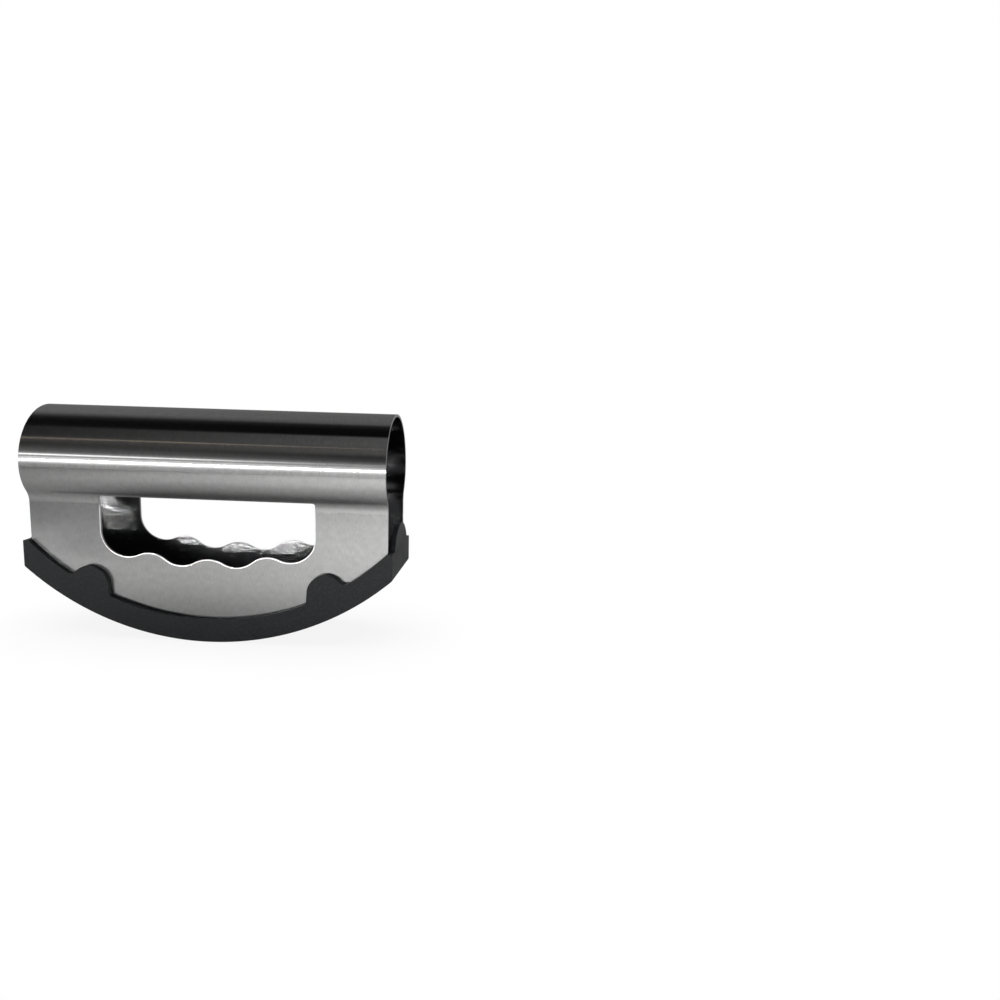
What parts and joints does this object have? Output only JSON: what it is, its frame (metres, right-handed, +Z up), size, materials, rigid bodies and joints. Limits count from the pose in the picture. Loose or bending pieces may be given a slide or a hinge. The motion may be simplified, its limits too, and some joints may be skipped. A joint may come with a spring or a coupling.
{
  "type": "rolling food chopper",
  "caption": "Rocking kitchen chopper: one folded steel sheet forms a tube handle and two parallel curved blades with a finger window, standing in a moulded blade guard.",
  "frame": {"origin": "middle of the guard's curved underside, where the tool stands", "axes": "+X along the tube handle, -Y out of the front blade's face, +Z up"},
  "size_m": [0.17, 0.0514, 0.1052],
  "materials": {
    "brushed_stainless": "stainless steel brushed round the tube and down the blades, polished inside",
    "black_plastic": "moulded, finely textured, near black"
  },
  "bodies": {
    "guard": {"blade_guard": "black_plastic"},
    "chopper": {"folded_steel_body": "brushed_stainless"}
  },
  "joints": [
    {"name": "chopper_lift", "type": "slide", "parent": "guard", "child": "chopper", "axis": [0, 0, 1], "range_m": [0, 0.055]}
  ]
}
